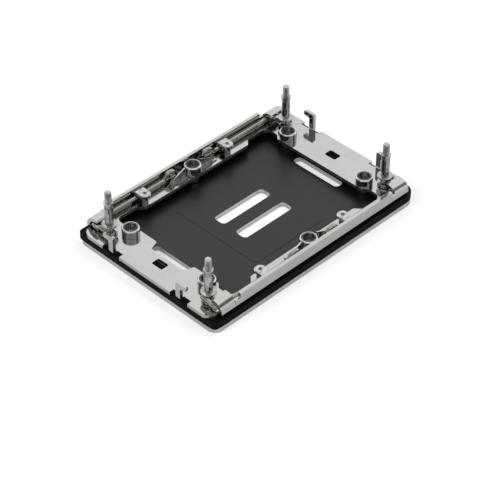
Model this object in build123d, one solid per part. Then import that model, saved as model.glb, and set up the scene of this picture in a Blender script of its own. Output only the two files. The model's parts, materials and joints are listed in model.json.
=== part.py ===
from build123d import *
import os

# A socket retention frame: a formed sheet of polished steel that is nutted down on a backing
# plate, with a black film and a black ring between them. Wire springs lie in the two long rails
# and hold down the four studs that take the heatsink.
# The origin is the middle of the plate's underside. X runs along the rails, and Z is up.

# Formed frame. "from_end" is measured in from its short edge, "from_side" from the rail wall
frame_length = 122.2
rail_width = 81.6
sheet = 1.6
rail_height = 5.36
bend_outer = 2.1
flange_corner = 4.7
edge_round = 1.2
end_window_length = 4.2
end_window_width = 6.2
end_window_corner = 0.9
end_window_from_end = 9.0

# Edge of the large window
pad_from_end = 17.8
pad_from_side = 15.2
corner_from_end = 15.7
corner_slope = 2.1
corner_round = 3.0
floor_from_side = 6.2
middle_floor_from_side = 9.05
middle_floor_from_end = 30.1
middle_floor_slope = 2.6
recess_from_end = 13.1
recess_reach = 9.8
recess_slope = 1.5

# Curled ears at the rail ends, and the notch between each ear and the rail wall
ear_from_end = 4.8
ear_length = 7.9
ear_past_top = 16.0
ear_notch_width = 2.7
ear_notch_depth = 2.3
ear_notch_round = 0.6

# Hooks at the short edges
hook_from_side = 20.6
hook_stem = 2.6
hook_height = 7.8
hook_bar = 2.4
hook_reach = 3.4
hook_round = 0.9
hook_notch_in = 4.9
hook_notch_out = 5.5
hook_notch_depth = 2.3

# Backing plate and its slots. One short end has rounder corners than the other
plate_past_end = -0.05
plate_past_side = 0.75
plate_thick = 2.2
plate_corner_left = 4.4
plate_corner_right = 6.0
middle_slot_length = 29.3
middle_slot_width = 6.5
middle_slot_spacing = 13.0
middle_slot_shift = 2.9
end_slot_length = 27.0
end_slot_width = 4.8
end_slot_from_end = 17.9
slot_corner = 2.0
slots_off_centre = 0.5

# Black film and black ring
film_thick = 0.25
film_margin = 0.4
spacer_height = 3.15
spacer_corner_left = 2.2
spacer_corner_right = 5.8
spacer_inner_corner = 3.0
spacer_end_gap = 0.5
spacer_side_gap = 1.0

# Studs for the heatsink
stud_from_end = 8.1
stud_from_side = 10.9
stud_height = 28.86
stud_tip = 2.9
stud_tip_length = 5.26
stud_tip_chamfer = 0.25
stud_shaft = 3.85
stud_shoulder = 4.3
stud_shoulder_length = 0.9
stud_groove_depth = 0.25
stud_groove_width = 0.5
stud_collar = 6.85
stud_collar_thick = 0.65
stud_neck = 3.8
stud_foot = 6.4
stud_foot_thick = 0.85
stud_barrel = 5.0
stud_tail = 3.0
stud_tail_length = 4.0

# Wire springs
wire = 2.1
wire_from_wall = 1.7
wire_above_floor = 1.9
wire_bend = 2.0
arm_rise = 1.1
arm_low_length = 2.7
arm_slope_length = 2.2
arm_past_stud = 1.0
arch_start = 15.0
arch_slope = 2.4
arch_rise = 2.8
arch_flat = 2.9
arch_leg_in = 1.9
arch_leg_drop = 3.4

# Clamps over the wires. The gaps run from the foot of an arch to the clamp's near edge
clamp_left_gap = 10.8
clamp_right_gap = 3.3
clamp_width = 5.4
clamp_thick = 1.2
clamp_reach = 4.35
clamp_chamfer = 0.3
clamp_hole = 1.8
clamp_rivet_shoulder = 3.2
clamp_rivet_dimple = 0.9
clamp_rivet_dimple_depth = 0.75
clamp_rivet_proud = 0.15

# Saddles under the middle nuts
stop_thick = 0.7
stop_pad_radius = 3.5
stop_inner_reach = 1.4
stop_outer_reach = 0.5
stop_ear_start = 4.6
stop_ear_end = 13.4
stop_ear_height = 4.0
stop_ear_low = 0.5

# Nuts and the pins that they turn on
corner_nut_from_end = 13.7
corner_nut_from_side = 17.8
middle_nut_wall_gap = 0.27
nut_head = 7.86
nut_head_height = 3.67
nut_rim_chamfer = 0.35
nut_shank = 5.0
nut_socket_core = 2.45
nut_socket_lobe = 0.5
nut_socket_lobe_place = 2.3
nut_socket_depth = 2.6
pin = 3.0
pin_head = 5.2
pin_head_thick = 0.9
pin_top = 8.0

# Clearances
running = 0.05
seat_gap = 0.03
wire_gap = 0.1
clamp_over_wire = 0.3
arm_gap_below = 0.25
arm_gap_above = 0.2
hole_gap = 0.1
loose_gap = 0.4

# How far a cutting solid runs past the face that it opens
cut_past = 1.0

# Levels and places that follow from the sizes above
film_bottom = plate_thick
film_top = film_bottom + film_thick
flange_bottom = film_top + spacer_height
flange_top = flange_bottom + sheet
rail_top = flange_top + rail_height
rail_half = rail_width / 2
wall_inner = rail_half - sheet
floor_half = rail_half - bend_outer
frame_half = frame_length / 2
plate_length = frame_length + 2 * plate_past_end
plate_width = rail_width + 2 * plate_past_side
ear_outer_end = frame_half - ear_from_end
ear_inner_end = ear_outer_end - ear_length
rail_wall_end = ear_inner_end - ear_notch_width
corner_nut_x = frame_half - corner_nut_from_end
corner_nut_y = rail_half - corner_nut_from_side
middle_nut_y = wall_inner - middle_nut_wall_gap - nut_head / 2
end_slot_x = frame_half - end_slot_from_end
end_window_x = frame_half - end_window_from_end
hook_y = rail_half - hook_from_side
clamp_left_x = -(arch_start + clamp_left_gap + clamp_width / 2)
clamp_right_x = arch_start + clamp_right_gap + clamp_width / 2
stud_x = frame_half - stud_from_end
stud_y = rail_half - stud_from_side
wire_y = wall_inner - wire_from_wall
wire_z = flange_top + wire_above_floor
arm_x = stud_x + stud_neck / 2 + wire / 2 + wire_gap
arm_z = wire_z + arm_rise
foot_top = arm_z - wire / 2 - arm_gap_below
collar_bottom = arm_z + wire / 2 + arm_gap_above
clamp_bottom = wire_z + wire / 2 + clamp_over_wire


def round_bar(radius, bottom, top, x=0.0, y=0.0):
    """Upright cylinder between two levels."""
    return Pos(x, y, (bottom + top) / 2) * Cylinder(radius, top - bottom)


def slab(length, width, corner, bottom, top, x=0.0, y=0.0):
    """Flat plate with round corners between two levels."""
    outline = RectangleRounded(length, width, corner)
    return Pos(x, y, bottom) * extrude(outline, top - bottom)


def uneven_slab(length, width, left_corner, right_corner, bottom, top):
    """Flat plate whose corners have one radius at the -X end and another at the +X end."""
    outline = Rectangle(length, width)
    outline = fillet(outline.vertices().group_by(Axis.X)[0], left_corner)
    outline = fillet(outline.vertices().group_by(Axis.X)[-1], right_corner)
    return Pos(0, 0, bottom) * extrude(outline, top - bottom)


def mirrored(piece, side_x, side_y):
    """Copy of a piece made at +X +Y, carried to the corner with these signs."""
    if side_x < 0:
        piece = mirror(piece, about=Plane.YZ)
    if side_y < 0:
        piece = mirror(piece, about=Plane.XZ)
    return piece


def slots(bottom, top):
    """The two slots in the middle and the one near each end, as solids to take away."""
    cutters = []
    for side in (-1, 1):
        middle_y = slots_off_centre + side * middle_slot_spacing / 2
        cutters.append(slab(middle_slot_length, middle_slot_width, slot_corner,
                            bottom, top, middle_slot_shift, middle_y))
        cutters.append(slab(end_slot_width, end_slot_length, slot_corner,
                            bottom, top, side * end_slot_x, slots_off_centre))
    return cutters


def pin_places():
    """Where the six pins stand."""
    corners = [(side_x * corner_nut_x, side_y * corner_nut_y)
               for side_x in (-1, 1) for side_y in (-1, 1)]
    return corners + [(0.0, -middle_nut_y), (0.0, middle_nut_y)]


def backing_plate():
    """Flat steel plate with its slots and stepped holes for the pins."""
    plate = uneven_slab(plate_length, plate_width, plate_corner_left, plate_corner_right,
                        0, plate_thick)
    plate -= slots(-cut_past, plate_thick + cut_past)
    for x, y in pin_places():
        plate -= round_bar(pin / 2, -cut_past, plate_thick + cut_past, x, y)
        plate -= round_bar(pin_head / 2, -cut_past, pin_head_thick, x, y)
    return plate


def insulator_sheet():
    """Thin black film, a little smaller than the plate, open over the slots and pins."""
    length = plate_length - 2 * film_margin
    width = plate_width - 2 * film_margin
    film = uneven_slab(length, width, plate_corner_left - film_margin,
                       plate_corner_right - film_margin, film_bottom, film_top)
    bottom = film_bottom - cut_past
    top = film_top + cut_past
    film -= slots(bottom, top)
    for x, y in pin_places():
        film -= round_bar(pin / 2 + hole_gap, bottom, top, x, y)
    return film


def edge_spacer():
    """Black ring under the frame, with room for the tails of the studs."""
    ring = uneven_slab(plate_length, plate_width, spacer_corner_left, spacer_corner_right,
                       film_top, flange_bottom)
    bottom = film_top - cut_past
    top = flange_bottom + cut_past
    inner_x = corner_nut_x + nut_shank / 2 + spacer_end_gap
    inner_y = middle_nut_y + nut_shank / 2 + spacer_side_gap
    ring -= slab(2 * inner_x, 2 * inner_y, spacer_inner_corner, bottom, top)
    for side_x in (-1, 1):
        for side_y in (-1, 1):
            ring -= round_bar(stud_tail / 2 + loose_gap, bottom, top, side_x * stud_x, side_y * stud_y)
    return ring


def window_outline():
    """Edge of the large window: wider at the corners, and set back at one end."""
    pad_x = frame_half - pad_from_end
    pad_y = rail_half - pad_from_side
    corner_x = frame_half - corner_from_end
    corner_y = rail_half - floor_from_side
    middle_x = frame_half - middle_floor_from_end
    right = [
        (pad_x, pad_y),
        (corner_x, pad_y + corner_slope),
        (corner_x, corner_y),
        (middle_x + middle_floor_slope, corner_y),
        (middle_x, rail_half - middle_floor_from_side),
    ]
    recess = [
        (pad_x, recess_reach + recess_slope),
        (frame_half - recess_from_end, recess_reach),
    ]
    left = [(-x, y) for x, y in reversed(right)] + [(-x, y) for x, y in recess]
    upper = right + left
    lower = [(x, -y) for x, y in reversed(upper)]
    outline = make_face(Polyline(*upper, *lower, close=True))
    reach = Vector(corner_x, corner_y).length - edge_round
    small = [corner for corner in outline.vertices() if Vector(corner.X, corner.Y).length < reach]
    outline = fillet(small, edge_round)
    wide = [corner for corner in outline.vertices() if Vector(corner.X, corner.Y).length > reach]
    return fillet(wide, corner_round)


def flange():
    """Flat part of the frame, with its windows, notches and holes."""
    outline = RectangleRounded(frame_length, 2 * floor_half, flange_corner)
    outline -= window_outline()
    end_window = RectangleRounded(end_window_length, end_window_width, end_window_corner)
    notch = Rectangle(2 * hook_notch_depth, hook_notch_in + hook_notch_out)
    notch_y = hook_y + (hook_notch_out - hook_notch_in) / 2
    for side_x in (-1, 1):
        outline -= Pos(side_x * end_window_x, 0) * end_window
        for side_y in (-1, 1):
            outline -= Pos(side_x * frame_half, side_y * notch_y) * notch
            outline -= Pos(side_x * stud_x, side_y * stud_y) * Circle(stud_tail / 2 + running)
    for x, y in pin_places():
        outline -= Pos(x, y) * Circle(nut_shank / 2 + hole_gap)
    return Pos(0, 0, flange_bottom) * extrude(outline, sheet)


def rail_bend():
    """Centre line of the sheet where the floor of a rail turns up into its wall."""
    centre_y = rail_half - bend_outer
    centre_z = flange_bottom + bend_outer
    radius = bend_outer - sheet / 2
    floor = Line((centre_y - edge_round, centre_z - radius), (centre_y, centre_z - radius))
    turn = CenterArc((centre_y, centre_z), radius, -90, 90)
    return floor + turn


def rail_wall():
    """Upright wall of a long rail, at +Y, notched from above beside each ear."""
    wall_y = rail_half - sheet / 2
    wall = Line((wall_y, flange_bottom + bend_outer), (wall_y, rail_top))
    section = trace(rail_bend() + wall, sheet)
    rail = Pos(-ear_inner_end, 0, 0) * extrude(Plane.YZ * section, 2 * ear_inner_end)
    opening = RectangleRounded(2 * ear_notch_width, 2 * ear_notch_depth, ear_notch_round)
    cutter = extrude(Plane.XZ * opening, sheet + 2 * cut_past)
    for side in (-1, 1):
        rail -= Pos(side * ear_inner_end, rail_half + cut_past, rail_top) * cutter
    return rail


def rail_ear():
    """Curled ear that holds down the end of a wire, at +X +Y."""
    level = flange_bottom + bend_outer
    radius = rail_top - level - sheet / 2
    curl = CenterArc((rail_half - sheet / 2 - radius, level), radius, 0, 90 + ear_past_top)
    section = trace(rail_bend() + curl, sheet)
    return Pos(ear_inner_end, 0, 0) * extrude(Plane.YZ * section, ear_length)


def hook():
    """Hook that stands up from the short edge, at +X +Y."""
    centre_x = frame_half - bend_outer
    centre_z = flange_bottom + bend_outer
    radius = bend_outer - sheet / 2
    foot = Line((centre_x - sheet, centre_z - radius), (centre_x, centre_z - radius))
    turn = CenterArc((centre_x, centre_z), radius, -90, 90)
    root = Plane.XZ * trace(foot + turn, sheet)
    root = Pos(0, hook_y + hook_stem / 2, 0) * extrude(root, hook_stem)
    top = flange_top + hook_height
    stem_in = hook_y - hook_stem / 2
    stem_out = hook_y + hook_stem / 2
    bar_end = stem_out + hook_reach
    outline = Polyline((stem_in, centre_z), (stem_out, centre_z), (stem_out, top - hook_bar),
                       (bar_end, top - hook_bar), (bar_end, top), (stem_in, top), close=True)
    face = make_face(outline)
    round_ones = [corner for corner in face.vertices() if corner.Y > centre_z + hook_round]
    face = fillet(round_ones, hook_round)
    blade = Pos(frame_half - sheet, 0, 0) * extrude(Plane.YZ * face, sheet)
    return root + blade


def bolster_frame():
    """The whole formed sheet."""
    frame = flange()
    for side_y in (-1, 1):
        frame += mirrored(rail_wall(), 1, side_y)
        for side_x in (-1, 1):
            frame += mirrored(rail_ear(), side_x, side_y)
            frame += mirrored(hook(), side_x, side_y)
    return frame


def heatsink_stud():
    """Turned stud at +X +Y, from its tail in the frame to its threaded tip."""
    foot_bottom = flange_top + seat_gap
    shaft_top = stud_height - stud_tip_length
    shoulder_bottom = shaft_top - stud_shoulder_length
    stud = round_bar(stud_tail / 2, foot_bottom - stud_tail_length, foot_bottom)
    stud += round_bar(stud_barrel / 2, foot_bottom, foot_top - stud_foot_thick)
    stud += round_bar(stud_foot / 2, foot_top - stud_foot_thick, foot_top)
    stud += round_bar(stud_neck / 2, foot_top, collar_bottom)
    stud += round_bar(stud_collar / 2, collar_bottom, collar_bottom + stud_collar_thick)
    stud += round_bar(stud_shaft / 2, collar_bottom + stud_collar_thick, shoulder_bottom)
    stud += round_bar(stud_shoulder / 2, shoulder_bottom, shaft_top)
    stud += round_bar(stud_tip / 2, shaft_top, stud_height)
    tip = stud.edges().sort_by(Axis.Z)[-1]
    stud = chamfer(tip, stud_tip_chamfer)
    for count in (1, 2):
        groove_top = shoulder_bottom - (2 * count - 1.5) * stud_groove_width
        groove_bottom = groove_top - stud_groove_width
        ring = round_bar(stud_shaft, groove_bottom, groove_top)
        ring -= round_bar(stud_shaft / 2 - stud_groove_depth, groove_bottom, groove_top)
        stud -= ring
    return Pos(stud_x, stud_y, 0) * stud


def load_wire():
    """Round spring wire at +X +Y: arm at the stud, rod along the rail, and the inner arch."""
    slope_start = wire_y - arm_low_length
    slope_end = slope_start - arm_slope_length
    arch_top_start = arch_start - arch_slope
    arch_top_end = arch_top_start - arch_flat
    arch_z = wire_z + arch_rise
    path = FilletPolyline(
        (arm_x, stud_y - arm_past_stud, arm_z),
        (arm_x, slope_end, arm_z),
        (arm_x, slope_start, wire_z),
        (arm_x, wire_y, wire_z),
        (arch_start, wire_y, wire_z),
        (arch_top_start, wire_y, arch_z),
        (arch_top_end, wire_y, arch_z),
        (arch_top_end - arch_leg_in, wire_y, arch_z - arch_leg_drop),
        radius=wire_bend,
    )
    start = Plane(origin=path @ 0, z_dir=path % 0)
    return sweep(start * Circle(wire / 2), path=path)


def wire_clamp(place):
    """Small plate over a wire, at +Y: a round end on its rivet and a square end at the wall."""
    pivot = wall_inner - clamp_reach - seat_gap
    outline = Pos(place, pivot) * Circle(clamp_width / 2)
    outline += Pos(place, pivot + clamp_reach / 2) * Rectangle(clamp_width, clamp_reach)
    outline -= Pos(place, pivot) * Circle(clamp_hole / 2)
    plate = Pos(0, 0, clamp_bottom) * extrude(outline, clamp_thick)
    top = plate.faces().sort_by(Axis.Z)[-1]
    return chamfer(top.outer_wire().edges(), clamp_chamfer)


def clamp_rivet(place):
    """Shouldered rivet that carries a clamp, at +Y, with a dimple in its top."""
    pivot = wall_inner - clamp_reach - seat_gap
    top = clamp_bottom + clamp_thick + clamp_rivet_proud
    rivet = round_bar(clamp_rivet_shoulder / 2, flange_top, clamp_bottom)
    rivet += round_bar(clamp_hole / 2, clamp_bottom, top)
    rivet -= round_bar(clamp_rivet_dimple / 2, top - clamp_rivet_dimple_depth, top + cut_past)
    return Pos(place, pivot, 0) * rivet


def wire_stop():
    """Saddle under the middle nut, at +Y, with an upright three-cornered ear on each side."""
    inner = middle_nut_y - stop_inner_reach
    outer = middle_nut_y + stop_outer_reach
    pad = Pos(0, middle_nut_y) * Circle(stop_pad_radius)
    pad &= Pos(0, (inner - stop_pad_radius + floor_half) / 2) * Rectangle(
        2 * stop_pad_radius, floor_half - inner + stop_pad_radius)
    pad += Pos(0, (inner + outer) / 2) * Rectangle(2 * stop_ear_end, outer - inner)
    pad -= Pos(0, middle_nut_y) * Circle(nut_shank / 2 + hole_gap)
    saddle = Pos(0, 0, flange_top) * extrude(pad, stop_thick)
    low = flange_top + stop_thick
    ear = make_face(Polyline((stop_ear_start, low), (stop_ear_end, low),
                             (stop_ear_end, low + stop_ear_low),
                             (stop_ear_start, low + stop_ear_height), close=True))
    ear = Pos(0, outer, 0) * extrude(Plane.XZ * ear, stop_thick)
    return saddle + ear + mirror(ear, about=Plane.YZ)


def lobed_socket(bottom, top):
    """Six-lobed recess, as a solid to take away."""
    outline = Circle(nut_socket_core)
    for place in PolarLocations(nut_socket_lobe_place, 6):
        outline += place * Circle(nut_socket_lobe)
    return Pos(0, 0, bottom) * extrude(outline, top - bottom)


def round_nut(seat):
    """Round nut on its pin, with a thin rim, a lobed socket and a shank through the frame."""
    top = seat + nut_head_height
    head = round_bar(nut_head / 2, seat + seat_gap, top)
    rim = head.edges().filter_by(GeomType.CIRCLE).sort_by(Axis.Z)[-1]
    nut = chamfer(rim, nut_rim_chamfer)
    nut += round_bar(nut_shank / 2, film_top + loose_gap, seat + seat_gap)
    nut -= lobed_socket(top - nut_socket_depth, top + cut_past)
    nut -= round_bar(pin / 2 + running, film_top, top)
    return nut


def plate_stud():
    """Pin pressed into the backing plate from below."""
    return round_bar(pin / 2, 0, pin_top) + round_bar(pin_head / 2, 0, pin_head_thick)


def all_nodes():
    """Every node of the model by name."""
    nodes = {
        "backing_plate": backing_plate(),
        "insulator_sheet": insulator_sheet(),
        "edge_spacer": edge_spacer(),
        "bolster_frame": bolster_frame(),
    }
    corners = (("left_far", -1, 1), ("right_far", 1, 1), ("left_near", -1, -1), ("right_near", 1, -1))
    for name, side_x, side_y in corners:
        nodes["heatsink_stud_" + name] = mirrored(heatsink_stud(), side_x, side_y)
        nodes["load_wire_" + name] = mirrored(load_wire(), side_x, side_y)
        place = clamp_left_x if side_x < 0 else clamp_right_x
        nodes["wire_clamp_" + name] = mirrored(wire_clamp(place), 1, side_y)
        nodes["clamp_rivet_" + name] = mirrored(clamp_rivet(place), 1, side_y)
        spot = Pos(side_x * corner_nut_x, side_y * corner_nut_y, 0)
        nodes["corner_nut_" + name] = spot * round_nut(flange_top)
        nodes["plate_stud_" + name] = spot * plate_stud()
    for name, side_y in (("far", 1), ("near", -1)):
        spot = Pos(0, side_y * middle_nut_y, 0)
        nodes["wire_stop_" + name] = mirrored(wire_stop(), 1, side_y)
        nodes["middle_nut_" + name] = spot * round_nut(flange_top + stop_thick)
        nodes["plate_stud_middle_" + name] = spot * plate_stud()
    return nodes


os.makedirs("parts", exist_ok=True)
for node_name, solid in all_nodes().items():
    export_step(solid, "parts/" + node_name + ".step")
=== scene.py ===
import json
import math
import bpy
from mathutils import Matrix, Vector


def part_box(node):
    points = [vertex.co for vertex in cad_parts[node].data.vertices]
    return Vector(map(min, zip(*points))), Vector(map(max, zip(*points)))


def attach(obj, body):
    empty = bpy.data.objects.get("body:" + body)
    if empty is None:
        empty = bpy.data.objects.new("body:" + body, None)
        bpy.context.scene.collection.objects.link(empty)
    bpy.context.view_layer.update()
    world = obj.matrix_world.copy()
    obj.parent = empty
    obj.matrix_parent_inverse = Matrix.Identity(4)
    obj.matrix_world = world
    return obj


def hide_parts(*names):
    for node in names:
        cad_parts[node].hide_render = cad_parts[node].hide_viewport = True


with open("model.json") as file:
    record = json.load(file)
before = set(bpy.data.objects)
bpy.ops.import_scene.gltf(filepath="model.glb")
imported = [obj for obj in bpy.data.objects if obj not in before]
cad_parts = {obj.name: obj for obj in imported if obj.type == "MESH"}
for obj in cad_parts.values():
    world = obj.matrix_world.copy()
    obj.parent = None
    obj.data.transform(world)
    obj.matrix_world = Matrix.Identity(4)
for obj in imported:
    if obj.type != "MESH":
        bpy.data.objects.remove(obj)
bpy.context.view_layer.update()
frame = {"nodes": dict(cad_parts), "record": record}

bpy.ops.object.select_all(action="DESELECT")


# Backing plate: the flat plate that lies behind the board, with four slots through it.
# It is cut from rolled steel and left satin, so a fine grain runs along its length.
# The same class writes the sums of every finish below, and the same functions ease sharp edges.

class Flow:
    """A value in a finish, which arithmetic can be written on."""

    def __init__(self, tree, socket=None):
        self.tree = tree
        self.socket = socket

    def node(self, kind, settings=None, inputs=None, output=0):
        """Adds a node: its settings come first, then the values or links of its sockets."""
        made = self.tree.nodes.new(kind)
        for name, setting in (settings or {}).items():
            if name == "stops":
                for element, (place, shade) in zip(made.color_ramp.elements, setting):
                    element.position = place
                    element.color = (shade, shade, shade, 1)
            else:
                setattr(made, name, setting)
        for name, value in (inputs or {}).items():
            if isinstance(value, Flow):
                self.tree.links.new(value.socket, made.inputs[name])
            else:
                made.inputs[name].default_value = value
        return Flow(self.tree, made.outputs[output])

    def sum(self, operation, first, second=0.0):
        return self.node("ShaderNodeMath", {"operation": operation}, {0: first, 1: second})

    def __add__(self, other):
        return self.sum("ADD", self, other)

    def __radd__(self, other):
        return self.sum("ADD", other, self)

    def __sub__(self, other):
        return self.sum("SUBTRACT", self, other)

    def __rsub__(self, other):
        return self.sum("SUBTRACT", other, self)

    def __mul__(self, other):
        return self.sum("MULTIPLY", self, other)

    def __rmul__(self, other):
        return self.sum("MULTIPLY", other, self)

    def __gt__(self, limit):
        return self.sum("GREATER_THAN", self, limit)

    def __lt__(self, limit):
        return self.sum("LESS_THAN", self, limit)

    def __abs__(self):
        return self.sum("ABSOLUTE", self)

    def noise(self, place, cells, detail):
        """Clouds from 0 to 1, with this many cells to the metre along each axis."""
        spread = self.node("ShaderNodeVectorMath", {"operation": "MULTIPLY"}, {0: place, 1: cells})
        return self.node("ShaderNodeTexNoise", {}, {"Vector": spread, "Scale": 1.0, "Detail": detail})

    def ramp(self, value, low, high):
        """0 up to the low limit, 1 from the high one, and a straight line between."""
        return self.node("ShaderNodeValToRGB", {"stops": ((low, 0.0), (high, 1.0))}, {"Fac": value})

    def ease(self, value, low, high):
        """The same as a ramp, but smooth where it starts and ends."""
        return self.node("ShaderNodeMapRange", {"interpolation_type": "SMOOTHSTEP"},
                         {"Value": value, "From Min": low, "From Max": high})

    def axis(self, place, letter):
        return self.node("ShaderNodeSeparateXYZ", {}, {"Vector": place}, letter)

    def upward(self):
        """How far the surface faces up: 1 on a level top, 0 on a wall."""
        return self.axis(self.node("ShaderNodeNewGeometry", output="Normal"), "Z")

    def ray(self, kind):
        """1 for a ray of this kind and 0 for any other."""
        return self.node("ShaderNodeLightPath", output=f"Is {kind} Ray")

    def seen(self):
        """1 where the camera looks straight at it or through glass."""
        return self.sum("MAXIMUM", self.ray("Camera"), self.ray("Transmission"))

    def blend(self, mask, first, second):
        """One colour where the mask is 0 and another where it is 1."""
        ends = [end if isinstance(end, Flow) else (*end, 1.0) for end in (first, second)]
        return self.node("ShaderNodeMix", {"data_type": "RGBA"},
                         {"Factor": mask, 6: ends[0], 7: ends[1]}, 2)

    def bump(self, height, depth, strength):
        """Relief: the height runs from 0 to 1 and the depth is in metres."""
        return self.node("ShaderNodeBump", {},
                         {"Height": height, "Distance": depth, "Strength": strength})


def new_finish(name, colour, metallic, roughness):
    """A material with its plain values set, its shader, and the start of its sums."""
    finish = bpy.data.materials.new(name)
    finish.use_nodes = True
    shader = finish.node_tree.nodes["Principled BSDF"]
    shader.inputs["Base Color"].default_value = (*colour, 1.0)
    shader.inputs["Metallic"].default_value = metallic
    shader.inputs["Roughness"].default_value = roughness
    start = Flow(finish.node_tree)
    return finish, shader, start, start.node("ShaderNodeTexCoord", output="Object")


def feed(shader, **values):
    """Links values to the shader's sockets: Base_Color is Base Color."""
    for name, value in values.items():
        value.tree.links.new(value.socket, shader.inputs[name.replace("_", " ")])


sharp_angle = math.radians(30)
smooth_angle = math.radians(40)
flat_angle = math.radians(0.5)
merge_distance = 0.000002
rounding_steps = 2
flat_weight = 100


def rounded(piece, width, outer_corners):
    """Rounds every edge at which faces turn by more than the sharp angle."""
    rounding = piece.modifiers.new("Rounding", "BEVEL")
    rounding.width = width
    rounding.segments = rounding_steps
    rounding.limit_method = "ANGLE"
    rounding.angle_limit = sharp_angle
    rounding.miter_outer = outer_corners
    bpy.ops.object.modifier_apply(modifier="Rounding")


def smoothed(piece):
    """Smooth shading that leaves flat faces flat: their normals outweigh those of rounded edges."""
    bpy.ops.object.shade_smooth_by_angle(angle=smooth_angle)
    weighting = piece.modifiers.new("Weighting", "WEIGHTED_NORMAL")
    weighting.weight = flat_weight
    weighting.keep_sharp = True
    bpy.ops.object.modifier_apply(modifier="Weighting")


def eased(node, name, finish, ease):
    """A merged copy of a CAD node with its sharp edges rounded, which stands for that node."""
    bpy.ops.object.select_all(action="DESELECT")
    piece = frame["nodes"][node].copy()
    piece.data = piece.data.copy()
    for key in list(piece.keys()):
        del piece[key]
    piece.parent = None
    piece.name = name
    bpy.context.scene.collection.objects.link(piece)
    piece.select_set(True)
    bpy.context.view_layer.objects.active = piece
    bpy.ops.object.mode_set(mode="EDIT")
    bpy.ops.mesh.select_all(action="SELECT")
    bpy.ops.mesh.customdata_custom_splitnormals_clear()
    bpy.ops.mesh.remove_doubles(threshold=merge_distance)
    bpy.ops.mesh.dissolve_limited(angle_limit=flat_angle)
    bpy.ops.object.mode_set(mode="OBJECT")
    if ease:
        rounded(piece, ease, "MITER_ARC")
    smoothed(piece)
    piece.data.materials.clear()
    piece.data.materials.append(finish)
    for face in piece.data.polygons:
        face.material_index = 0
    bodies = frame["record"]["behaviour"]["bodies"]
    body = next(body for body, nodes in bodies.items() if node in nodes)
    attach(piece, body)
    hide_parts(node)
    return piece


plate_rounding = 0.00022
plate_dark, plate_pale = (0.66, 0.655, 0.64), (0.8, 0.795, 0.78)
plate_finish, shader, start, place = new_finish(
    "plate_steel", colour=(0.62, 0.615, 0.6), metallic=1.0, roughness=0.3)
grain = start.noise(place, (60, 2600, 2600), detail=3.0)
cloud = start.noise(place, (55, 55, 55), detail=4.0)
feed(shader,
     Base_Color=start.blend(cloud, plate_dark, plate_pale),
     Roughness=0.2 + 0.1 * grain + 0.08 * cloud,
     Normal=start.bump(grain, depth=0.00001, strength=0.35))
eased("backing_plate", "rolled_plate", plate_finish, plate_rounding)


# Black film: a thin insulating sheet that keeps the plate off the back of the board.
# It is die-cut polycarbonate with a fine matt grain, and a scored line turns a corner in it.
# It mirrors a little, so the rails darken the strips of it that lie beside them.

film_dark, film_pale = (0.0030, 0.0030, 0.0032), (0.0062, 0.0062, 0.0065)
film_finish, shader, start, place = new_finish(
    "black_film", colour=(0.006, 0.006, 0.0063), metallic=0.0, roughness=0.33)
grain = start.noise(place, (2600, 2600, 2600), detail=3.0)
cloud = start.noise(place, (28, 28, 28), detail=3.0)
feed(shader,
     Base_Color=start.blend(cloud, film_dark, film_pale),
     Roughness=0.26 + 0.08 * grain + 0.08 * cloud,
     Normal=start.bump(grain, depth=0.000008, strength=0.4))
film = eased("insulator_sheet", "scored_film", film_finish, 0)

film_top = 0.00245
score_width = 0.00032
score_depth = 0.00012
score_round = 0.0025
score_round_steps = 8
score_start = (-0.020, 0.024)
score_corner = (-0.020, -0.024)
score_end_x = 0.020
score_merge = 0.000001


def extrude(x, y, z):
    """Draws what is selected out by this much."""
    bpy.ops.mesh.extrude_region_move(TRANSFORM_OT_translate={"value": (x, y, z)})


def face_outwards():
    """Turns all faces of the mesh in edit mode outwards."""
    bpy.ops.mesh.select_all(action="SELECT")
    bpy.ops.mesh.normals_make_consistent(inside=False)


bpy.ops.object.select_all(action="DESELECT")
bpy.ops.mesh.primitive_plane_add(size=1.0, location=(*score_start, film_top),
                                 rotation=(math.pi / 2, 0, 0))
bpy.ops.object.transform_apply()
bpy.ops.object.mode_set(mode="EDIT")
bpy.ops.transform.resize(value=(score_width, 1.0, 2 * score_depth),
                         center_override=(*score_start, film_top))
bpy.ops.mesh.delete(type="ONLY_FACE")
bpy.ops.mesh.select_all(action="SELECT")
extrude(0, score_corner[1] + score_round - score_start[1], 0)
bpy.ops.mesh.spin(steps=score_round_steps, angle=-math.pi / 2, axis=(0, 0, 1),
                  center=(score_corner[0] + score_round, score_corner[1] + score_round, film_top))
extrude(score_end_x - score_corner[0] - score_round, 0, 0)
bpy.ops.mesh.select_all(action="SELECT")
bpy.ops.mesh.remove_doubles(threshold=score_merge)
bpy.ops.mesh.fill_holes(sides=4)
face_outwards()
bpy.ops.object.mode_set(mode="OBJECT")
scorer = bpy.context.object
scorer.data.materials.append(film_finish)
bpy.ops.object.select_all(action="DESELECT")
film.select_set(True)
bpy.context.view_layer.objects.active = film
scoring = film.modifiers.new("Scoring", "BOOLEAN")
scoring.operation = "DIFFERENCE"
scoring.solver = "MANIFOLD"
scoring.object = scorer
bpy.ops.object.modifier_apply(modifier="Scoring")
bpy.data.objects.remove(scorer)


# Black ring: the moulded rim between the frame and the plate, which is seen as a black border.
# It is glass-filled nylon with a dull, slightly grainy skin.
# It is clamped by the six nuts and carries the frame over the socket. It also fills the shaded gap
# under the frame where a board would sit, so its black is partly painted shade.

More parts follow.
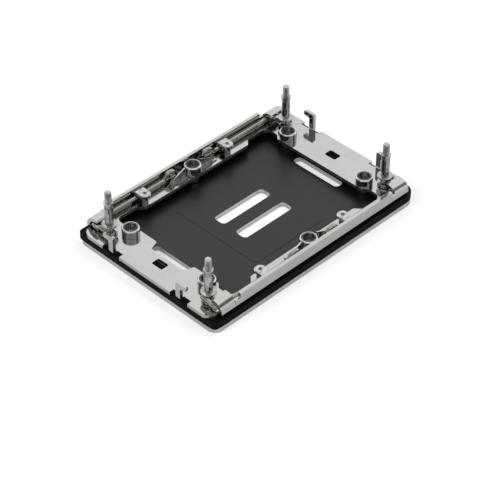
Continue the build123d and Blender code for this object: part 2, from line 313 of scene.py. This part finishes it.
ring_rounding = 0.0002
# Partly painted shade: the ring's near-black stands both for the ring itself and for the shaded gap
# under the frame.
ring_dark, ring_pale = (0.0022, 0.0022, 0.0024), (0.0045, 0.0045, 0.0048)
ring_finish, shader, start, place = new_finish(
    "black_plastic", colour=(0.006, 0.006, 0.0063), metallic=0.0, roughness=0.5)
shader.inputs["Specular IOR Level"].default_value = 0.06
grain = start.noise(place, (1500, 1500, 1500), detail=4.0)
cloud = start.noise(place, (70, 70, 70), detail=2.0)
feed(shader,
     Base_Color=start.blend(cloud, ring_dark, ring_pale),
     Roughness=0.42 + 0.16 * grain,
     Normal=start.bump(grain, depth=0.00003, strength=0.4))
eased("edge_spacer", "black_ring", ring_finish, ring_rounding)


# Pins: six headed pins pressed into the plate from below, which the nuts turn on.
# They are turned steel, with a fine, even grain on the ends that show.

pin_rounding = 0.0001
pin_dark, pin_pale = (0.42, 0.41, 0.4), (0.58, 0.57, 0.555)
pin_finish, shader, start, place = new_finish(
    "turned_pin", colour=(0.5, 0.49, 0.475), metallic=1.0, roughness=0.3)
grain = start.noise(place, (900, 900, 900), detail=3.0)
feed(shader,
     Base_Color=start.blend(grain, pin_dark, pin_pale),
     Roughness=0.2 + 0.16 * grain,
     Normal=start.bump(grain, depth=0.00001, strength=0.4))


def eased_kind(kind, name, finish, ease):
    """Eases every CAD node of one kind: each keeps the part of its name that tells its place."""
    for node in frame["nodes"]:
        if node.startswith(kind):
            eased(node, name + node.removeprefix(kind), finish, ease)


eased_kind("plate_stud", "pin", pin_finish, pin_rounding)


# Formed frame: one sheet with two walled rails, curled ears, hooks and a large window.
# It is stamped from steel sheet, folded, nickel plated and polished until it mirrors the studs.
# Hairlines run along the rails, handling has left short scratches, and sheared edges are dull.

frame_rounding = 0.00014
frame_dark, frame_pale = (0.545, 0.538, 0.525), (0.63, 0.625, 0.613)
rail_wall_y = 0.0385
flange_top_z = 0.00715
least_level = 0.5
frame_finish, shader, start, place = new_finish(
    "polished_steel", colour=(0.585, 0.58, 0.57), metallic=1.0, roughness=0.06)
smear = start.noise(place, (160, 30, 160), detail=4.0)
cloud = start.noise(place, (45, 45, 45), detail=3.0)
hairline = start.noise(place, (90, 5200, 5200), detail=2.0)
speck = start.noise(place, (1400, 1400, 1400), detail=2.0)
along = start.ramp(start.noise(place, (170, 3400, 3400), detail=2.0), low=0.6, high=0.68)
across = start.ramp(start.noise(place, (3400, 240, 3400), detail=2.0), low=0.62, high=0.7)
scratch = start.sum("MAXIMUM", along, across)
wall = abs(start.upward()) < least_level
inside_rails = abs(start.axis(place, "Y")) < rail_wall_y
in_flange = start.axis(place, "Z") < flange_top_z
cut_edge = wall * inside_rails * in_flange
feed(shader,
     Base_Color=start.blend(smear * 0.6 + cloud * 0.4 - 0.5 * scratch, frame_dark, frame_pale),
     Roughness=0.035 + 0.06 * smear + 0.09 * scratch + 0.22 * cut_edge,
     Normal=start.bump(0.7 * hairline + 0.3 * speck - 0.6 * scratch, depth=0.000002, strength=0.5))
eased("bolster_frame", "formed_frame", frame_finish, frame_rounding)


# Studs: four turned posts with a collar and a foot, which a heatsink's nuts run onto.
# They are carbon steel, nickel plated, and the marks of the lathe run round them.
# The rolled thread on each tip is a ridge of its own, wound up the tip from the shoulder.

stud_dark, stud_pale = (0.36, 0.348, 0.332), (0.6, 0.592, 0.58)
stud_finish, shader, start, place = new_finish(
    "turned_steel", colour=(0.44, 0.432, 0.42), metallic=1.0, roughness=0.2)
turning = start.noise(place, (3, 3, 5200), detail=2.0)
cloud = start.noise(place, (300, 300, 300), detail=3.0)
feed(shader,
     Base_Color=start.blend(start.ramp(cloud, low=0.36, high=0.62), stud_dark, stud_pale),
     Roughness=0.045 + 0.05 * turning + 0.04 * cloud,
     Normal=start.bump(turning, depth=0.00001, strength=0.2))

# Each step is a radius and a height in millimetres, from the tail up to the tip.
stud_steps = [
    (1.5, 3.23), (1.5, 7.23), (2.5, 7.23), (2.5, 8.05), (3.2, 8.05), (3.2, 8.9), (1.9, 8.9),
    (1.9, 11.45), (3.425, 11.45), (3.425, 12.1), (1.925, 12.1), (1.925, 20.95), (1.675, 20.95),
    (1.675, 21.45), (1.925, 21.45), (1.925, 21.95), (1.675, 21.95), (1.675, 22.45),
    (1.925, 22.45), (1.925, 22.7), (2.15, 22.7), (2.15, 23.6), (1.41, 23.6), (1.41, 28.61),
    (1.22, 28.86),
]
stud_sides = 64
stud_rounding = 0.00006
thread_pitch = 0.0005
thread_turns = 9
thread_sides = 32
thread_start = 0.02372
thread_root = 0.0014
thread_crest = 0.0015
thread_flank = 0.46 * thread_pitch


def turned_post(name, x, y):
    """A post drawn up from a disc, one step of the lathe's profile after another."""
    bpy.ops.object.select_all(action="DESELECT")
    radius, height = (size / 1000 for size in stud_steps[0])
    bpy.ops.mesh.primitive_circle_add(vertices=stud_sides, radius=radius, fill_type="NGON",
                                      location=(x, y, height))
    post = bpy.context.object
    post.name = name
    bpy.ops.object.transform_apply(location=True)
    bpy.ops.object.mode_set(mode="EDIT")
    for step_radius, step_height in stud_steps[1:]:
        grow = step_radius / 1000 / radius
        extrude(0, 0, step_height / 1000 - height)
        bpy.ops.transform.resize(value=(grow, grow, 1), center_override=(x, y, height))
        radius, height = step_radius / 1000, step_height / 1000
    face_outwards()
    bpy.ops.object.mode_set(mode="OBJECT")
    rounded(post, stud_rounding, "MITER_SHARP")
    smoothed(post)
    return post


def wound_thread(name, x, y):
    """The ridge of a thread: a small three-sided section wound up the tip of a post."""
    bpy.ops.object.select_all(action="DESELECT")
    bpy.ops.mesh.primitive_circle_add(vertices=3, radius=1.0, location=(0, 0, 0))
    ridge = bpy.context.object
    ridge.name = name
    section = ((thread_root, -thread_flank), (thread_crest, 0.0), (thread_root, thread_flank))
    for vertex, (reach, rise) in zip(ridge.data.vertices, section):
        vertex.co = (reach, 0, thread_start + rise)
    winding = ridge.modifiers.new("Winding", "SCREW")
    winding.screw_offset = thread_pitch
    winding.iterations = thread_turns
    winding.steps = thread_sides
    winding.render_steps = thread_sides
    winding.use_normal_calculate = True
    bpy.ops.object.modifier_apply(modifier="Winding")
    bpy.ops.object.mode_set(mode="EDIT")
    bpy.ops.mesh.select_all(action="SELECT")
    bpy.ops.mesh.fill_holes(sides=3)
    face_outwards()
    bpy.ops.transform.translate(value=(x, y, 0))
    bpy.ops.object.mode_set(mode="OBJECT")
    bpy.ops.object.shade_smooth_by_angle(angle=sharp_angle)
    return ridge


for node in frame["nodes"]:
    if node.startswith("heatsink_stud"):
        corner = node.removeprefix("heatsink_stud_")
        low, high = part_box(node)
        spot_x, spot_y = (low[0] + high[0]) / 2, (low[1] + high[1]) / 2
        post = turned_post("stud_" + corner, spot_x, spot_y)
        ridge = wound_thread("thread_" + corner, spot_x, spot_y)
        for piece in (post, ridge):
            piece.data.materials.append(stud_finish)
            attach(piece, "stud_" + corner)
        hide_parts(node)


# Wire springs: round wire that lies along each rail and holds a stud down with its bent arm.
# It is drawn spring steel, so fine lines run along it and it is a little brown.

wire_rounding = 0.00012
wire_dark, wire_pale = (0.34, 0.326, 0.306), (0.48, 0.466, 0.44)
wire_finish, shader, start, place = new_finish(
    "spring_steel", colour=(0.38, 0.365, 0.345), metallic=1.0, roughness=0.2)
drawn = start.noise(place, (50, 4200, 4200), detail=2.0)
cloud = start.noise(place, (140, 400, 400), detail=3.0)
feed(shader,
     Base_Color=start.blend(cloud, wire_dark, wire_pale),
     Roughness=0.05 + 0.07 * drawn + 0.04 * cloud,
     Normal=start.bump(drawn, depth=0.00001, strength=0.4))
eased_kind("load_wire", "wire", wire_finish, wire_rounding)


# Clamps: four small plates with a round end, which keep the wires down in the rails.
# They are stamped from bright sheet and tumbled, so their skin is slightly pitted.

clamp_rounding = 0.0001
clamp_dark, clamp_pale = (0.44, 0.435, 0.422), (0.7, 0.695, 0.68)
clamp_finish, shader, start, place = new_finish(
    "bright_clamp", colour=(0.66, 0.655, 0.64), metallic=1.0, roughness=0.16)
speck = start.noise(place, (700, 700, 700), detail=3.0)
feed(shader,
     Base_Color=start.blend(start.ramp(speck, low=0.36, high=0.62), clamp_dark, clamp_pale),
     Roughness=0.1 + 0.14 * speck,
     Normal=start.bump(speck, depth=0.00007, strength=0.6))
eased_kind("wire_clamp", "clamp", clamp_finish, clamp_rounding)


# Rivets: a shouldered rivet carries each clamp and is headed over in its round end.
# They are plain steel, and the punch has left a dimple in each head. Their colour is painted darker
# than the clamps as painted shade for that dimple.

rivet_rounding = 0.00008
# Painted shade: the rivets are coloured darker than the clamps to stand for the shade in their
# dimpled heads.
rivet_dark, rivet_pale = (0.2, 0.194, 0.185), (0.36, 0.352, 0.34)
rivet_finish, shader, start, place = new_finish(
    "plain_rivet", colour=(0.27, 0.262, 0.25), metallic=1.0, roughness=0.2)
speck = start.noise(place, (900, 900, 900), detail=3.0)
feed(shader,
     Base_Color=start.blend(speck, rivet_dark, rivet_pale),
     Roughness=0.12 + 0.16 * speck,
     Normal=start.bump(speck, depth=0.00002, strength=0.5))
eased_kind("clamp_rivet", "rivet", rivet_finish, rivet_rounding)


# Saddles: two thin folded strips under the middle nuts, with a pointed ear each side.
# They are bright spring sheet, tumbled as the clamps are, and stop the wires' arches from
# turning in. The middle nuts hold them down.

saddle_rounding = 0.0001
eased_kind("wire_stop", "saddle", clamp_finish, saddle_rounding)


# Nuts: six round nuts with a six-lobed socket, each held on its pin.
# They are turned and nickel plated, with a fine ring every 0.1 mm. The top is painted bright as a
# painted highlight and the side darker as painted shade; in the socket the walls are painted pale as
# a painted reflection, the floor near black as painted shade.

nut_rounding = 0.00006
# Painted shade: the side colours are the shaded copy of the plating, darker than the top of the same
# nut.
nut_shaded_side_dark, nut_shaded_side_pale = (0.36, 0.352, 0.34), (0.44, 0.432, 0.42)
# Painted highlight: the level top of each nut is painted pale, brighter than the side of the same
# plating.
nut_top_highlight = (0.76, 0.755, 0.745)
# In the socket the pale walls are a painted reflection and the near-black floor is painted shade of
# the deep hole.
socket_wall_sheen, socket_floor_shade = (0.52, 0.512, 0.5), (0.13, 0.127, 0.122)
corner_nut_spot = (0.0474, 0.023)
middle_nut_spot = (0.0, 0.035)
top_highlight_from_z = 0.0102
socket_from_z = 0.0081
socket_radius = 0.0033
least_upward = 0.3
ring_phase = 60000.0
nut_finish, shader, start, place = new_finish(
    "plated_steel", colour=(0.5, 0.49, 0.475), metallic=1.0, roughness=0.15)
cloud = start.noise(place, (350, 350, 350), detail=3.0)
speck = start.noise(place, (2200, 2200, 2200), detail=2.0)
from_x = abs(start.axis(place, "X"))
from_y = abs(start.axis(place, "Y"))


def distance_from(x, y):
    """How far a point is from the nut that stands here, seen from above."""
    return start.sum("SQRT", (from_x - x) * (from_x - x) + (from_y - y) * (from_y - y))


from_axis = start.sum("MINIMUM", distance_from(*corner_nut_spot), distance_from(*middle_nut_spot))
height = start.axis(place, "Z")
level = start.upward() > least_upward
# Level faces above this height, outside the socket, take the painted highlight; the rest of the
# outside takes the painted shade.
top_highlight = (height > top_highlight_from_z) * level * (from_axis > socket_radius)
socket = (from_axis < socket_radius) * (height > socket_from_z)
outside = start.blend(top_highlight, start.blend(cloud, nut_shaded_side_dark, nut_shaded_side_pale), nut_top_highlight)
# Inside the socket the walls take the painted reflection and the level floor the painted shade.
inside = start.blend(level, socket_wall_sheen, socket_floor_shade)
rings = start.sum("SINE", from_axis * ring_phase)
feed(shader,
     Base_Color=start.blend(socket, outside, inside),
     Roughness=0.1 + 0.1 * cloud,
     Normal=start.bump(0.5 * speck + 0.2 * rings, depth=0.000004, strength=0.5))
eased_kind("corner_nut", "nut", nut_finish, nut_rounding)
eased_kind("middle_nut", "middle_nut", nut_finish, nut_rounding)


# Floor: a plain white sheet that the object lies on, which keeps its soft shadow.
# Half a metre out it starts to fade into the white room, so it shows no far edge.
# It glows a little for the camera, and much less for the metal that mirrors it.

floor_size = 6.0
floor_drop = 0.00002
floor_glow = 0.48
mirrored_share = 0.15
fade_from, fade_to = 0.5, 1.5
bpy.ops.mesh.primitive_plane_add(size=floor_size, location=(0, 0, -floor_drop))
bpy.ops.object.transform_apply(location=True)
floor = bpy.context.object
floor.name = "floor"
floor_finish, shader, start, place = new_finish(
    "white_floor", colour=(0.57, 0.57, 0.57), metallic=0.0, roughness=0.9)
shader.inputs["Specular IOR Level"].default_value = 0.0
shader.inputs["Emission Strength"].default_value = 1.0
shown = start.sum("MAXIMUM", start.seen(), mirrored_share * start.ray("Glossy"))
reach = start.node("ShaderNodeVectorMath", {"operation": "LENGTH"}, {0: place}, "Value")
glow = floor_glow + (1.0 - floor_glow) * start.ease(reach, fade_from, fade_to)
feed(shader, Emission_Color=start.blend(glow * shown, (0, 0, 0), (1, 1, 1)))
floor.data.materials.append(floor_finish)


# Light: a white room that is dimmer for what it lights than for what mirrors it, and two
# large soft lamps above. A dark flag stands at each side, as in a studio for bright metal,
# and the room is dimmer on the side of the camera, most of all low down.

world = bpy.data.worlds.new("white_room")
bpy.context.scene.world = world
world.use_nodes = True
start = Flow(world.node_tree)
direction = start.node("ShaderNodeTexCoord", output="Generated")


def towards(aim, edge, middle):
    """1 where the room is seen in this direction, easing to 0: both limits are cosines."""
    likeness = start.node("ShaderNodeVectorMath", {"operation": "DOT_PRODUCT"},
                          {0: direction, 1: aim}, "Value")
    return start.ease(likeness, edge, middle)


room_fill = 0.55
flag_depth = 0.75
camera_side_depth = 0.45
low_screen_depth = 0.35
to_camera = (-0.7071, -0.7071, 0.0)
left_flag = towards((-0.54, 0.54, 0.646), edge=0.88, middle=0.97)
right_flag = towards((0.54, -0.61, 0.58), edge=0.95, middle=0.99)
camera_side = towards(to_camera, edge=-0.2, middle=0.8)
low_screen = towards(to_camera, edge=0.78, middle=0.9)
room = (1.0 - flag_depth * left_flag - flag_depth * right_flag
        - camera_side_depth * camera_side - low_screen_depth * low_screen)
strength = (room_fill + (1.0 - room_fill) * start.seen()
            + start.ray("Glossy") * (room - room_fill))
sky = world.node_tree.nodes["Background"]
sky.inputs["Color"].default_value = (1, 1, 1, 1)
feed(sky, Strength=strength)

lamp_size = 0.8
lamps = (("lamp_left", (-0.9, 0.3, 1.1), 9.0), ("lamp_right", (0.9, -0.2, 1.2), 7.0))
for name, spot, power in lamps:
    lamp = bpy.data.lights.new(name, "AREA")
    lamp.size = lamp_size
    lamp.energy = power
    holder = bpy.data.objects.new(name, lamp)
    holder.visible_glossy = False
    holder.location = spot
    aim = -holder.location
    holder.rotation_euler = aim.to_track_quat("-Z", "Y").to_euler()
    bpy.context.scene.collection.objects.link(holder)


# Camera: where the photograph was taken from, found from the outline of the plate.
# It stands in front of the near left corner and looks down at the object by 40 degrees.

camera_tilt = math.radians(90 - 40.49)
camera_turn = math.radians(-45.02)
lens = bpy.data.cameras.new("camera")
lens.lens = 138.2
lens.sensor_width = 36.0
camera = bpy.data.objects.new("camera", lens)
camera.location = (-0.4495, -0.4496, 0.5262)
camera.rotation_euler = (camera_tilt, 0, camera_turn)
bpy.context.scene.collection.objects.link(camera)
bpy.context.scene.camera = camera
bpy.context.scene.view_settings.view_transform = "Standard"
